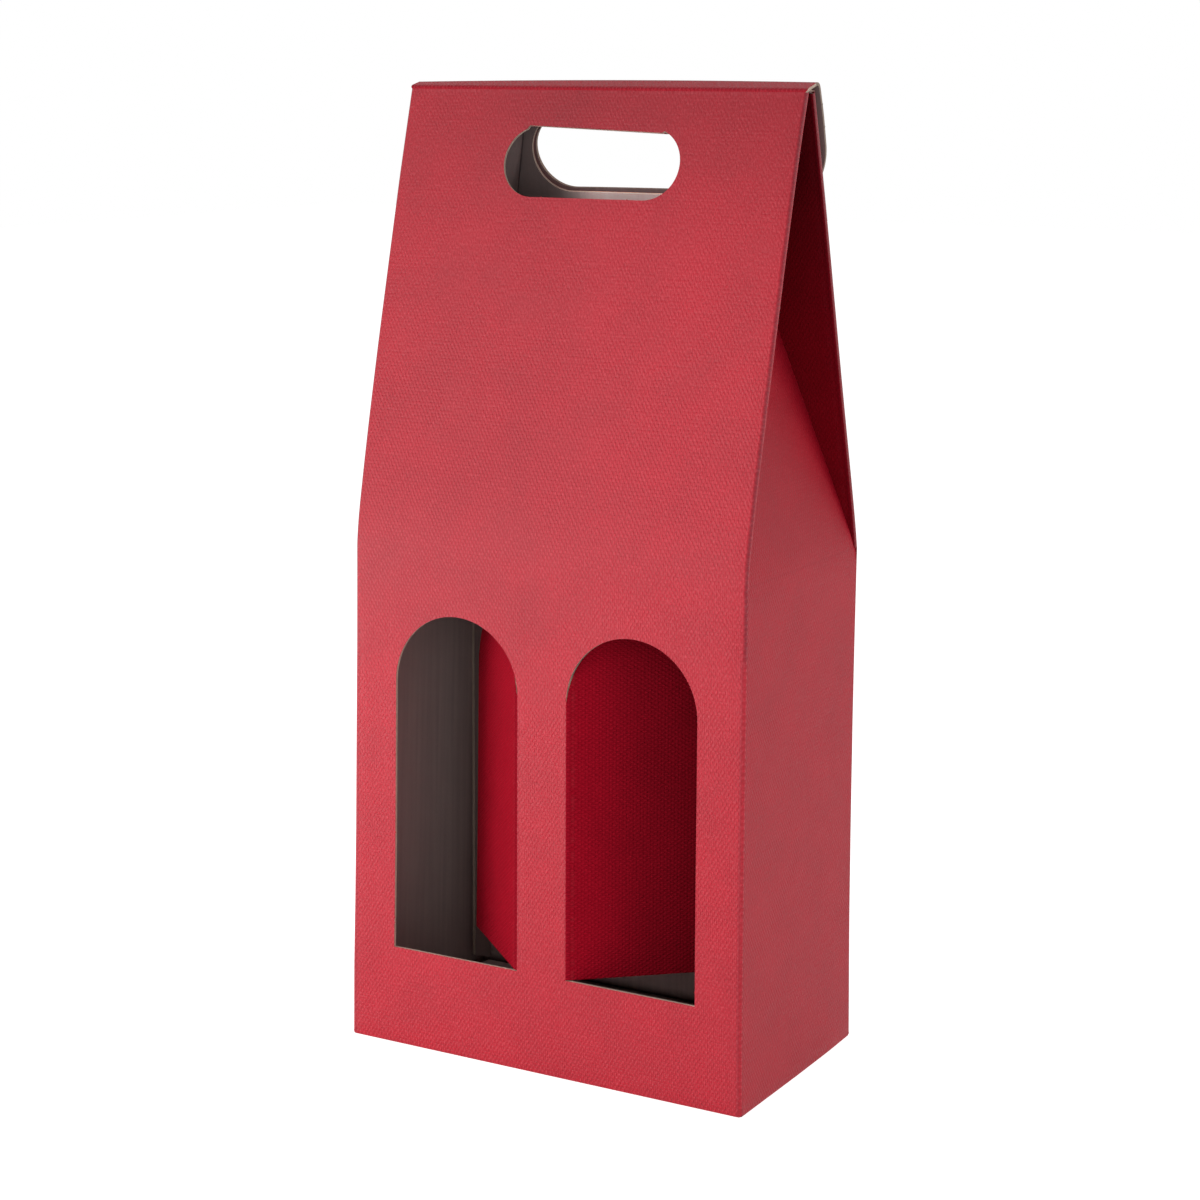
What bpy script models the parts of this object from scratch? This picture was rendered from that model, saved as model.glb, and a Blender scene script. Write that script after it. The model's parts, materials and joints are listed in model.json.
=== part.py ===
"""Two-bottle gift box, folded from one blank of fine corrugated board.

Every panel of the blank is a plate of its own. It stops a hair short of its
creases, and a panel that turns has its origin on the crease it turns about.
The closed top is a gable: front and back lean in to a ridge, each side folds in
as a gusset, a narrow strip crosses the ridge, and a flap hangs down behind it.
"""

import math

import bmesh
import bpy
from mathutils import Matrix, Vector

# Board and its folds, in metres
BOARD = 0.0012
SEAM = 0.0003
FOLD_GAP = 0.00045
RIDGE_CREASE = 0.0008
WING_CREASE = 0.0002

# Body
WIDTH = 0.180
DEPTH = 0.103
BODY_HEIGHT = 0.2104
GLUE_FLAP_WIDTH = 0.013
GLUE_FLAP_END = 0.004
GLUE_FLAP_TAPER = 0.005

# Bottle windows in the front wall, and the flaps pushed in from them
WINDOW_WIDTH = 0.0585
WINDOW_SILL = 0.042
WINDOW_SPRING = 0.15625
WINDOW_POST = 0.0225
LEFT_FLAP_OPEN = math.radians(43)
RIGHT_FLAP_OPEN = math.radians(41)

# Gable top: the front ridge crease, then the strip and the closing flap
RIDGE_HEIGHT = 0.39625
RIDGE_FORWARD = 0.0048
STRIP_LENGTH = 0.0106
STRIP_RISE = math.radians(16.1)
STRIP_CLEARANCE = 0.0016
CLOSING_LENGTH = 0.054
CLOSING_FALL = math.radians(71.2)
CLOSING_CORNER = 0.028

# Side gussets
GUSSET_LEAN = math.radians(15.5)
GUSSET_TIP = 0.001
WING_TOP = 0.0006

# Handle: the slot in the front gable, its flap, and the two holes behind it
HANDLE_HALF = 0.040
SLOT_RADIUS = 0.0145
SLOT_DROP = 0.0305
SLOT_FOLD = 0.0175
HANDLE_RELIEF = 0.0060
BACK_HOLE_RADIUS = 0.0162
BACK_HOLE_DROP = 0.0099
CLOSING_HOLE_RADIUS = 0.0159
CLOSING_HOLE_DROP = 0.0082

# Self-locking bottom
MAJOR_GAP = 0.0006
MAJOR_STEP = 0.024
MAJOR_SLOPE = 0.020
MAJOR_CORNER = 0.008
MINOR_REACH = 0.046
MINOR_CORNER = 0.010

# Drawing
ARC_STEPS = 20
MERGE = 0.00001
CARRIER_RED = (0.56, 0.05, 0.08, 1.0)
DEEP_RED = (0.42, 0.03, 0.05, 1.0)
LINER_GREY = (0.42, 0.37, 0.35, 1.0)
BOARD_ROUGHNESS = 0.55
LINER_ROUGHNESS = 0.85

X = Vector((1, 0, 0))
Y = Vector((0, 1, 0))
Z = Vector((0, 0, 1))

# Lengths that follow from the sizes above
SKIN = BOARD / 2
MITRE_BACK = SEAM / math.sqrt(2)
INNER_WIDTH = WIDTH - 2 * (BOARD + SEAM)
INNER_DEPTH = DEPTH - 2 * (BOARD + SEAM)
WALL_PLANE = DEPTH / 2 - SKIN
SIDE_PLANE = WIDTH / 2 - SKIN
FLAP_PLANE = BOARD + SEAM + SKIN


def in_plane(angle):
    """Direction in the plane across the box, raised by an angle from straight back."""
    return Vector((0, math.cos(angle), math.sin(angle)))


# Front gable: from its crease at the shoulder up to the ridge
FRONT_HINGE = Vector((0, -WALL_PLANE, BODY_HEIGHT))
RIDGE = Vector((0, -RIDGE_FORWARD, RIDGE_HEIGHT))
FRONT_UP = (RIDGE - FRONT_HINGE).normalized()
FRONT_OUT = X.cross(FRONT_UP)
FRONT_LENGTH = (RIDGE - FRONT_HINGE).length
FRONT_LEAN = math.asin(FRONT_UP.y)

# Back gable: it leans until the two folded wings just fit between the gables
BACK_HINGE = Vector((0, WALL_PLANE, BODY_HEIGHT))
WING_DEPTH = SKIN + FOLD_GAP + BOARD
WING_FACE = RIDGE - FRONT_OUT * WING_DEPTH
TO_WING = WING_FACE - BACK_HINGE
BACK_LEAN = math.atan2(-TO_WING.y, TO_WING.z) - math.asin((WING_DEPTH + SEAM) / TO_WING.length)
BACK_UP = Vector((0, -math.sin(BACK_LEAN), math.cos(BACK_LEAN)))
BACK_OUT = BACK_UP.cross(X)

# Ridge strip and closing flap
STRIP_UP = in_plane(STRIP_RISE)
STRIP_OUT = X.cross(STRIP_UP)
CLOSING_HINGE = RIDGE + STRIP_UP * STRIP_LENGTH
CLOSING_DOWN = in_plane(-CLOSING_FALL)
BACK_CORNER = BACK_HINGE + BACK_OUT * SKIN - RIDGE
BACK_LENGTH = -(SKIN + STRIP_CLEARANCE + BACK_CORNER.dot(STRIP_OUT)) / BACK_UP.dot(STRIP_OUT)

# Handle flap: it folds back level on the straight top of the slot
HANDLE_HINGE = RIDGE - FRONT_UP * SLOT_FOLD
HANDLE_BEND = math.pi / 2 - FRONT_LEAN


def crease_start(lean):
    """Where a panel that leans in starts, so that its inner edge clears the wall."""
    return (SEAM / 2 + SKIN * math.sin(lean)) / math.cos(lean)


def flap_start(angle):
    """Where a pushed-in flap starts, at this angle to the board that it hangs on."""
    return (SKIN + SEAM + SKIN * math.cos(angle)) / math.sin(angle)


def arc(centre, radius, start, end):
    """Points of a round stretch, ends included."""
    turn = end - start
    angles = [start + turn * step / ARC_STEPS for step in range(ARC_STEPS + 1)]
    return [(centre[0] + radius * math.cos(a), centre[1] + radius * math.sin(a)) for a in angles]


def mirrored(points):
    """The same stretch on the other side of the middle, so that the outline closes."""
    return points + [(-x, y) for x, y in reversed(points)]


def rectangle(half_width, low, high):
    return [(-half_width, low), (half_width, low), (half_width, high), (-half_width, high)]


def arch(middle, half_width, sill, spring):
    """A window with a half-round head."""
    head = arc((middle, spring), half_width, 0, math.pi)
    return [(middle - half_width, sill), (middle + half_width, sill)] + head


def slot(centre, half_width, radius, fold=None):
    """A slot with round ends; a fold cuts its top off straight."""
    top = math.pi / 2
    if fold is not None:
        top = math.asin((fold - centre) / radius)
    return mirrored(arc((half_width - radius, centre), radius, -math.pi / 2, top))


def placed(origin, across, up):
    """A panel's own frame: across it, up it, and square to its face."""
    face = across.cross(up)
    turn = Matrix((across, up, face)).transposed().to_4x4()
    return Matrix.Translation(origin) @ turn


def board_material(name, colour, roughness):
    material = bpy.data.materials.new(name)
    material.use_nodes = True
    shader = material.node_tree.nodes["Principled BSDF"]
    shader.inputs["Base Color"].default_value = colour
    shader.inputs["Roughness"].default_value = roughness
    shader.inputs["Metallic"].default_value = 0
    material.diffuse_color = colour
    return material


def start_scene():
    for item in list(bpy.data.objects):
        bpy.data.objects.remove(item, do_unlink=True)
    collection = bpy.data.collections.new("wine_box")
    bpy.context.scene.collection.children.link(collection)
    return collection


class Box:
    """Cuts the panels from board and hangs each one on the panel that carries it."""

    def __init__(self):
        self.collection = start_scene()
        self.frames = {}
        self.body = bpy.data.objects.new("box_middle", None)
        self.collection.objects.link(self.body)

    def panel(self, name, loops, frame, parent=None, colour=CARRIER_RED, lift=0.0):
        """A plate of board; the first loop is its outline, the others are holes."""
        curve = bpy.data.curves.new(name, "CURVE")
        curve.dimensions = "2D"
        curve.fill_mode = "BOTH"
        curve.extrude = SKIN
        for loop in loops:
            spline = curve.splines.new("POLY")
            spline.points.add(len(loop) - 1)
            for point, (x, y) in zip(spline.points, loop):
                point.co = (x, y, 0, 1)
            spline.use_cyclic_u = True
        outline = bpy.data.objects.new(name + "_outline", curve)
        self.collection.objects.link(outline)
        mesh = self.plate_mesh(name, outline, lift)
        bpy.data.objects.remove(outline, do_unlink=True)
        bpy.data.curves.remove(curve)
        roughness = LINER_ROUGHNESS if colour is LINER_GREY else BOARD_ROUGHNESS
        mesh.materials.append(board_material(name, colour, roughness))
        plate = bpy.data.objects.new(name, mesh)
        self.collection.objects.link(plate)
        plate.parent = bpy.data.objects[parent] if parent else self.body
        above = self.frames[parent] if parent else Matrix.Identity(4)
        plate.matrix_basis = above.inverted() @ frame
        self.frames[name] = frame
        return plate

    def plate_mesh(self, name, outline, lift):
        """The drawn plate as one closed mesh, moved along its own face by lift."""
        bpy.context.view_layer.update()
        graph = bpy.context.evaluated_depsgraph_get()
        mesh = bpy.data.meshes.new_from_object(outline.evaluated_get(graph))
        mesh.name = name
        work = bmesh.new()
        work.from_mesh(mesh)
        bmesh.ops.remove_doubles(work, verts=work.verts, dist=MERGE)
        bmesh.ops.translate(work, verts=work.verts, vec=Z * lift)
        bmesh.ops.recalc_face_normals(work, faces=work.faces)
        work.to_mesh(mesh)
        work.free()
        return mesh


def mitre(plate, axis, edge, way, face):
    """Cuts an edge back at 45 degrees on one face, as a square fold lies; way points inwards."""
    for vertex in plate.data.vertices:
        if abs(vertex.co[axis] - edge) < MERGE and vertex.co.z * face > 0:
            vertex.co[axis] += way * BOARD


def walls(box):
    """The sleeve: four walls, mitred at the corners, and the glued seam inside."""
    half_front = WIDTH / 2 - MITRE_BACK
    half_side = DEPTH / 2 - MITRE_BACK
    top = BODY_HEIGHT - SEAM / 2
    middle = WINDOW_POST / 2 + WINDOW_WIDTH / 2
    windows = [arch(side * middle, WINDOW_WIDTH / 2, WINDOW_SILL, WINDOW_SPRING) for side in (-1, 1)]
    front = rectangle(half_front, MITRE_BACK, top)
    front_wall = box.panel("front_wall", [front] + windows, placed(-Y * WALL_PLANE, X, Z))
    back_wall = box.panel("back_wall", [front], placed(Y * WALL_PLANE, -X, Z))
    side = rectangle(half_side, 0, top)
    right_wall = box.panel("right_wall", [side], placed(X * SIDE_PLANE, Y, Z))
    left_wall = box.panel("left_wall", [side], placed(-X * SIDE_PLANE, -Y, Z))
    for wall, half in ((front_wall, half_front), (back_wall, half_front),
                       (right_wall, half_side), (left_wall, half_side)):
        mitre(wall, 0, half, -1, -1)
        mitre(wall, 0, -half, 1, -1)
    for wall in (front_wall, back_wall):
        mitre(wall, 1, MITRE_BACK, 1, -1)
    glue_flap(box, top)


def glue_flap(box, top):
    """The narrow flap of the back wall, glued to the left wall on the inside."""
    low = GLUE_FLAP_END
    high = top - GLUE_FLAP_END
    outline = [(0, low), (GLUE_FLAP_WIDTH, low + GLUE_FLAP_TAPER),
               (GLUE_FLAP_WIDTH, high - GLUE_FLAP_TAPER), (0, high)]
    origin = Vector((BOARD + SEAM + SKIN - WIDTH / 2, INNER_DEPTH / 2, 0))
    box.panel("glue_flap", [outline], placed(origin, -Y, Z), colour=LINER_GREY)


def bottom(box):
    """Two long flaps that meet in a stepped line, and the glued side flaps on them."""
    half = INNER_WIDTH / 2
    start = DEPTH / 2 - MITRE_BACK
    long_reach = start + (MAJOR_STEP - MAJOR_GAP) / 2
    short_reach = long_reach - MAJOR_STEP
    slope = MAJOR_SLOPE / 2
    long_edge = [(-half, 0), (half, 0), (half, short_reach - MAJOR_CORNER),
                 (half - MAJOR_CORNER, short_reach), (slope, short_reach), (-slope, long_reach),
                 (MAJOR_CORNER - half, long_reach), (-half, long_reach - MAJOR_CORNER)]
    for name, way in (("bottom_front", 1), ("bottom_back", -1)):
        frame = placed(Vector((0, -start * way, SKIN)), X * way, Y * way)
        mitre(box.panel(name, [long_edge], frame), 1, 0, 1, 1)
    for name, way in (("left", -1), ("right", 1)):
        side_flap(box, name, way)


def side_flap(box, name, way):
    """A side flap lies on the long flaps; its corner past the 45-degree crease is glued."""
    half = INNER_DEPTH / 2
    crease = SEAM / math.sqrt(2)
    reach = MINOR_REACH
    flap = [(0, crease - half), (reach, reach - half + crease), (reach, half - MINOR_CORNER),
            (reach - MINOR_CORNER, half), (0, half)]
    tab = [(crease, -half), (reach - MINOR_CORNER, -half), (reach, MINOR_CORNER - half),
           (reach, reach - half - crease)]
    origin = Vector((way * INNER_WIDTH / 2, 0, FLAP_PLANE))
    frame = placed(origin, -X * way, -Y * way)
    box.panel("bottom_" + name, [flap], frame, colour=LINER_GREY)
    box.panel("bottom_tab_" + name, [tab], frame, colour=LINER_GREY)


def window_flaps(box):
    """The cut-out of each window, pushed in on its edge next to the middle post."""
    half = WINDOW_WIDTH / 2
    start = flap_start(math.pi / 2)
    spring = WINDOW_SPRING - WINDOW_SILL
    radius = half - SEAM
    end = math.acos((start - half) / radius)
    outline = [(start, SEAM), (half + radius, SEAM)] + arc((half, spring), radius, 0, end)
    for name, side, opened in (("left", -1, LEFT_FLAP_OPEN), ("right", 1, RIGHT_FLAP_OPEN)):
        hinge = Vector((side * WINDOW_POST / 2, -WALL_PLANE, WINDOW_SILL))
        inward = Vector((side * math.cos(opened), math.sin(opened), 0))
        box.panel("window_flap_" + name, [outline], placed(hinge, inward, Z), colour=DEEP_RED)


def gables(box):
    """Front and back gable, leaning in from the shoulder creases to the ridge."""
    fold = FRONT_LENGTH - SLOT_FOLD
    hand_slot = slot(FRONT_LENGTH - SLOT_DROP, HANDLE_HALF, SLOT_RADIUS, fold)
    front = rectangle(WIDTH / 2, crease_start(FRONT_LEAN), FRONT_LENGTH - RIDGE_CREASE)
    box.panel("front_gable", [front, hand_slot], placed(FRONT_HINGE, X, FRONT_UP))
    level = HANDLE_HINGE.z - BACK_HOLE_DROP - BODY_HEIGHT
    hole = slot(level / math.cos(BACK_LEAN), HANDLE_HALF, BACK_HOLE_RADIUS)
    back = rectangle(WIDTH / 2, crease_start(BACK_LEAN), BACK_LENGTH)
    box.panel("back_gable", [back, hole], placed(BACK_HINGE, -X, BACK_UP))


def ridge(box):
    """The strip across the ridge, and the round-cornered flap that closes the top."""
    strip = rectangle(WIDTH / 2, RIDGE_CREASE, STRIP_LENGTH - RIDGE_CREASE)
    box.panel("ridge_strip", [strip], placed(RIDGE, X, STRIP_UP), parent="front_gable")
    straight = CLOSING_LENGTH - CLOSING_CORNER
    corner = arc((WIDTH / 2 - CLOSING_CORNER, straight), CLOSING_CORNER, 0, math.pi / 2)
    outline = mirrored([(WIDTH / 2, RIDGE_CREASE)] + corner)
    level = CLOSING_HINGE.z - HANDLE_HINGE.z + CLOSING_HOLE_DROP
    hole = slot(level / math.sin(CLOSING_FALL), HANDLE_HALF, CLOSING_HOLE_RADIUS)
    frame = placed(CLOSING_HINGE, X, CLOSING_DOWN)
    box.panel("closing_flap", [outline, hole], frame, parent="ridge_strip")


def handle_flap(box):
    """The cut-out of the slot, folded back level through both holes behind it."""
    radius = SLOT_RADIUS - SEAM
    fold = -flap_start(HANDLE_BEND)
    outline = slot(SLOT_FOLD - SLOT_DROP, HANDLE_HALF - HANDLE_RELIEF, radius, fold)
    frame = placed(HANDLE_HINGE, X, -Y)
    box.panel("handle_flap", [outline], frame, parent="front_gable", colour=DEEP_RED)


def gussets(box):
    """The middle of each side, folded in between the gables, with its two wings."""
    inset = WING_DEPTH + SEAM * math.cos(FRONT_LEAN)
    front_edge = FRONT_HINGE.y + inset / math.cos(FRONT_LEAN)
    inset = WING_DEPTH + SEAM * math.cos(BACK_LEAN)
    back_edge = BACK_HINGE.y - inset / math.cos(BACK_LEAN)
    front_slope = math.cos(GUSSET_LEAN) * math.tan(FRONT_LEAN)
    back_slope = math.cos(GUSSET_LEAN) * math.tan(BACK_LEAN)
    low = crease_start(GUSSET_LEAN)
    tip = (back_edge - front_edge - GUSSET_TIP) / (front_slope + back_slope)
    outline = [(front_edge + low * front_slope, low), (back_edge - low * back_slope, low),
               (back_edge - tip * back_slope, tip), (front_edge + tip * front_slope, tip)]
    for name, side in (("left", -1), ("right", 1)):
        up = Vector((-side * math.sin(GUSSET_LEAN), 0, math.cos(GUSSET_LEAN)))
        origin = Vector((side * SIDE_PLANE, 0, BODY_HEIGHT))
        box.panel("gusset_" + name, [outline], placed(origin, Y, up), colour=DEEP_RED)
        wing(box, "front", name, side)
        wing(box, "back", name, side)


def wing(box, gable, name, side):
    """The part of a side that lies folded against a gable, inside it."""
    if gable == "front":
        hinge, up, lean, length, across = FRONT_HINGE, FRONT_UP, FRONT_LEAN, FRONT_LENGTH, X
    else:
        hinge, up, lean, length, across = BACK_HINGE, BACK_UP, BACK_LEAN, BACK_LENGTH, -X
    out = across.cross(up)
    way = -side * across.x
    middle = WING_DEPTH - SKIN
    base = SKIN / math.cos(GUSSET_LEAN) - SKIN - FOLD_GAP / 2

    def reach(up_slope):
        """How far the wing reaches in, up to the gusset's inner face."""
        height = up_slope * math.cos(lean) - middle * math.sin(lean)
        return base + height * math.tan(GUSSET_LEAN)

    foot = (WING_CREASE - base) / math.tan(GUSSET_LEAN) + middle * math.sin(lean)
    low = foot / math.cos(lean)
    high = length - WING_TOP
    outline = [(way * WING_CREASE, low), (way * WING_CREASE, high), (way * reach(high), high)]
    edge = side * (WIDTH / 2 - BOARD - FOLD_GAP / 2)
    origin = hinge - out * (SKIN + FOLD_GAP / 2) + X * edge
    lift = -(FOLD_GAP + BOARD) / 2
    box.panel("wing_" + gable + "_" + name, [outline], placed(origin, across, up),
              parent=gable + "_gable", colour=DEEP_RED, lift=lift)


def main():
    box = Box()
    walls(box)
    bottom(box)
    window_flaps(box)
    gables(box)
    ridge(box)
    handle_flap(box)
    gussets(box)


main()
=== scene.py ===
"""Looks of a two-bottle gift carrier, folded from dark red embossed board.

Every board is drawn flat, cut as in the blank, and then folded to where the frame has
its creases. Each point keeps its place in the blank, so print and emboss follow it.
"""

import json
import math

import bmesh
import bpy
import numpy as np
from mathutils import Matrix, Vector


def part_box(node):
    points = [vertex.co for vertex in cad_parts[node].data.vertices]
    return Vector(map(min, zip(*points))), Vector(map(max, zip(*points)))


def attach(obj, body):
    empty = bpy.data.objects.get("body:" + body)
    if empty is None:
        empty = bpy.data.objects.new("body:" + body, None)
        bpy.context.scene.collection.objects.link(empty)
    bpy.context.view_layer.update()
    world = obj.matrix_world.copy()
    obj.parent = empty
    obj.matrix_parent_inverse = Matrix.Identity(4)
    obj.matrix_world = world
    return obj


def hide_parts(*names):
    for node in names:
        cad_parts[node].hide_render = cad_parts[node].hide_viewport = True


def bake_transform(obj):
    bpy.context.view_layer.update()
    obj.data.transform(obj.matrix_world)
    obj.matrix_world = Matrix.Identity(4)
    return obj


bl_info = {
    "name": "Bottle carrier of embossed board",
    "version": (1, 0, 0),
    "blender": (4, 5, 0),
    "location": "View3D > Sidebar > Carrier",
    "description": "Folded boards of a bottle carrier, with their finish and a plain studio",
    "category": "Object",
}

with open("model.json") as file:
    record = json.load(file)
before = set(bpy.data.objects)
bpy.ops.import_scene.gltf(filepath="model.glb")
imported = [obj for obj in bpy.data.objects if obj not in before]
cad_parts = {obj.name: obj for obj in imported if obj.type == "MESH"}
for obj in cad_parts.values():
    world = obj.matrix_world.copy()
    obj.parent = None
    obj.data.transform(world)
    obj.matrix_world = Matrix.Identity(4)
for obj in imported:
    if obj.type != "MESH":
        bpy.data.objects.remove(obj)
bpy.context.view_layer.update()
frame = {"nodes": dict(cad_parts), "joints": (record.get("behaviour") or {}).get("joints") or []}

X, Y, Z = Vector((1, 0, 0)), Vector((0, 1, 0)), Vector((0, 0, 1))
MM = 0.001


def joint(name):
    """A joint of the frame by its name."""
    return next(item for item in frame["joints"] if item["name"] == name)


def hinge(name):
    return Vector(joint(name)["pos_m"])


# Sizes and places that the frame gives
FRONT_WALL_LOW, FRONT_WALL_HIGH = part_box("front_wall")
BOARD = FRONT_WALL_HIGH.y - FRONT_WALL_LOW.y
SKIN = BOARD / 2
HALF_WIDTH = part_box("front_gable")[1].x
HALF_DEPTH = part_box("back_wall")[1].y
FRONT_HINGE = hinge("front_shoulder")
BACK_HINGE = hinge("back_shoulder")
SIDE_PLANE = hinge("gusset_crease_right").x
SHOULDER = FRONT_HINGE.z
RIDGE = hinge("ridge_crease")
CLOSING_HINGE = hinge("closing_crease")
HANDLE_HINGE = hinge("handle_fold")
WING_FOLD = hinge("wing_fold_front_right").x

FRONT_UP = (RIDGE - FRONT_HINGE).normalized()
FRONT_LENGTH = (RIDGE - FRONT_HINGE).length
FRONT_LEAN = math.asin(FRONT_UP.y)
BACK_UP = Vector(joint("wing_fold_back_right")["axis"]).normalized()
BACK_LEAN = -math.asin(BACK_UP.y)
BACK_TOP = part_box("back_gable")[1].z - SKIN * math.sin(BACK_LEAN)
BACK_LENGTH = (BACK_TOP - BACK_HINGE.z) / BACK_UP.z
STRIP_UP = (CLOSING_HINGE - RIDGE).normalized()
STRIP_LENGTH = (CLOSING_HINGE - RIDGE).length
GUSSET_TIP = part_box("gusset_right")[1]

# The folded edge of a gable: its board turns round a half circle and runs back as a wing.
# Its corner begins a little above the floor.
ROLL = HALF_WIDTH - WING_FOLD - SKIN
CORNER_END = WING_FOLD + ROLL * math.pi / 2
WING_START = WING_FOLD + ROLL * math.pi
WING_MIDDLE = 2 * ROLL
CORNER_FOOT = 0.0002

# Steps of the boards' grids, and the smallest distance that counts
GRID = 0.006
ROLL_STEP = 0.00022
CREASE_STEP = 0.0006
CUTTER_REACH = 0.003
TOUCH = 0.00003
FAR = 1.0

# Finishes of a board's faces, in the order of its material slots. The sheltered and the side
# facing are copies of the embossed facing with less sheen: painted shade, for paper that lies
# in shade and for the sides and the ridge strip
FINISHES = ("embossed facing", "plain liner", "cut edge", "shaded facing", "side facing")
FACING, LINER, CUT_EDGE, SHADED_FACING, SIDE = range(len(FINISHES))

# Painted light and shade in the paper's colour, where 1 is as printed, less is painted shade
# and more is painted light, and how much painted shade darkens it further
FLOOR_PAINTED_LIGHT = 1.5
SIDE_PAINTED_SHADE = 0.88
GUSSET_PAINTED_SHADE = 0.8
STRIP_PAINTED_SHADE = 0.85
CLOSING_PAINTED_SHADE = 0.5
BACK_EDGE_PAINTED_SHADE = 0.5
WING_PAINTED_SHADE = 0.42
LEFT_FLAP_PAINTED_SHADES = (0.68, 0.6)
RIGHT_FLAP_PAINTED_SHADES = (0.8, 0.5)
RIDGE_PAINTED_SHADE = 0.25
LEFT_UPPER_PAINTED_SHADE = 0.13
WING_RIDGE_PAINTED_SHADE = 0.2

# Painted shade on the liner: the share of its colour that it loses, or gains as painted light
GUSSET_LINER_PAINTED_SHADE = 0.5
HOLE_LINER_PAINTED_SHADE = 0.5
HOLE_LINER_PAINTED_LIGHT = 1.3

# Scores of the corners: where below the shoulder the soft one ends and the dashed one
# begins, and how far past the start of the corner the dashed one lies
SOFT_SCORE_END = 0.024
DASHED_SCORE_START = 0.03
DASHED_SCORE_ASIDE = 0.0008

# Torn tags that the die left on cut edges: heights, or places along the edge. Those of the
# back gable are heights above the shoulder, each with its reach.
LEFT_WINDOW_TAGS = (0.0916, 0.0549, 0.0526)
RIGHT_WINDOW_TAG = 0.0477
HAND_SLOT_TAGS = (-0.0206, 0.0186)
BACK_EDGE_TAGS = ((0.0166, 0.0007), (0.1016, 0.0005), (0.117, 0.0005))
CLOSING_EDGE_TAGS = (0.009, 0.018)
WINDOW_FLAP_TAGS = (0.0543, 0.093, 0.1527)
SMALL_TAG = 0.0005

# Soft lights: name, angle round from the front, rise, reach, height looked at, and width
LIGHTS = (("left", -50, 0, 0.7, 0.04, 0.3), ("front", -28, 15, 1.0, 0.15, 0.5),
          ("front right", 30, 10, 1.2, 0.15, 0.6), ("right", 110, 18, 1.1, 0.2, 0.8))
WHITE = (1, 1, 1, 1)

# The glued sleeve doesn't stand quite square. Heights in metres, and how far its left edge
# spreads there in millimetres
LEFT_SPREAD = ((0, 3.0), (.03, 2.55), (.06, 1.6), (.09, .8), (.11, .42), (.14, -.2), (.17, -.8),
               (.2, -1.2), (.216, -1.4), (.235, -1.3), (.26, -.8), (.29, -.33), (.33, .05),
               (.36, .4), (.4, .5))
# the same for its right edge, and the share of it at places from front to rear
RIGHT_SPREAD = ((0, 1.0), (.01, .75), (.03, .35), (.06, .1), (.09, 0))
RIGHT_FOOT = ((-.05, .6), (0, 1), (.03, .9), (.05, .35))
# and the same for its rear, towards the back
REAR_SPREAD = ((0, 1.2), (.02, .8), (.05, 0), (.1, -.6), (.14, -.8), (.17, -.6), (.21, 0))


def shape():
    return bpy.context.scene.carrier_shape


def finish():
    return bpy.context.scene.carrier_finish


def studio():
    return bpy.context.scene.carrier_studio


# Drawing of the blank


def span(low, high, pitch):
    """Even steps from low to high, at most a pitch apart."""
    count = max(1, math.ceil((high - low) / pitch - 1e-6))
    return [low + (high - low) * step / count for step in range(count + 1)]


def lines(*rows):
    """Grid lines in order, with near doubles dropped."""
    kept = []
    for value in sorted(value for row in rows for value in row):
        if not kept or value - kept[-1] > CREASE_STEP / 10:
            kept.append(value)
    return kept


def arc(centre, radius, start, end, count=36):
    """Points of a round stretch, ends included."""
    angles = [start + (end - start) * step / count for step in range(count + 1)]
    return [(centre[0] + radius * math.cos(a), centre[1] + radius * math.sin(a)) for a in angles]


def mirrored(points):
    """The same stretch on the other side of the middle, so that the outline closes."""
    return points + [(-x, y) for x, y in reversed(points)]


def arch(middle, half_width, sill, spring):
    """A window with a half-round head."""
    head = arc((middle, spring), half_width, 0, math.pi)
    return [(middle - half_width, sill), (middle + half_width, sill)] + head


def slot(centre, half_width, radius, fold=None, tilt=0):
    """A slot with round ends; a fold cuts its top off straight, with a fall to the right."""
    top = math.pi / 2
    if fold is not None:
        top = math.asin((fold - centre) / radius)
    loop = mirrored(arc((half_width - radius, centre), radius, -math.pi / 2, top))
    rise = centre + radius * math.sin(top) - TOUCH
    return [(x, y - x * tilt if y > rise else y) for x, y in loop]


def prism_into(work, *rings):
    """A closed prism between a lower and an upper ring of points."""
    low, high = ([work.verts.new(point) for point in ring] for ring in rings)
    work.faces.new(high)
    work.faces.new(list(reversed(low)))
    for index in range(len(low)):
        after = (index + 1) % len(low)
        work.faces.new((low[index], low[after], high[after], high[index]))


def new_object(name, data):
    made = bpy.data.objects.new(name, data)
    bpy.context.scene.collection.objects.link(made)
    return made


def mesh_object(name, work):
    mesh = bpy.data.meshes.new(name)
    bmesh.ops.recalc_face_normals(work, faces=work.faces)
    work.to_mesh(mesh)
    work.free()
    return new_object(name, mesh)


def grid_board(name, across, along):
    """A board of quads between the grid lines, with its thickness."""
    work = bmesh.new()
    low, high = ([[work.verts.new((u, v, w)) for v in along] for u in across]
                 for w in (-SKIN, SKIN))
    for i in range(len(across) - 1):
        for j in range(len(along) - 1):
            work.faces.new((high[i][j], high[i + 1][j], high[i + 1][j + 1], high[i][j + 1]))
            work.faces.new((low[i][j], low[i][j + 1], low[i + 1][j + 1], low[i + 1][j]))
    for i in range(len(across) - 1):
        for j in (0, -1):
            work.faces.new((low[i][j], low[i + 1][j], high[i + 1][j], high[i][j]))
    for j in range(len(along) - 1):
        for i in (0, -1):
            work.faces.new((low[i][j], high[i][j], high[i][j + 1], low[i][j + 1]))
    return mesh_object(name, work)


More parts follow.
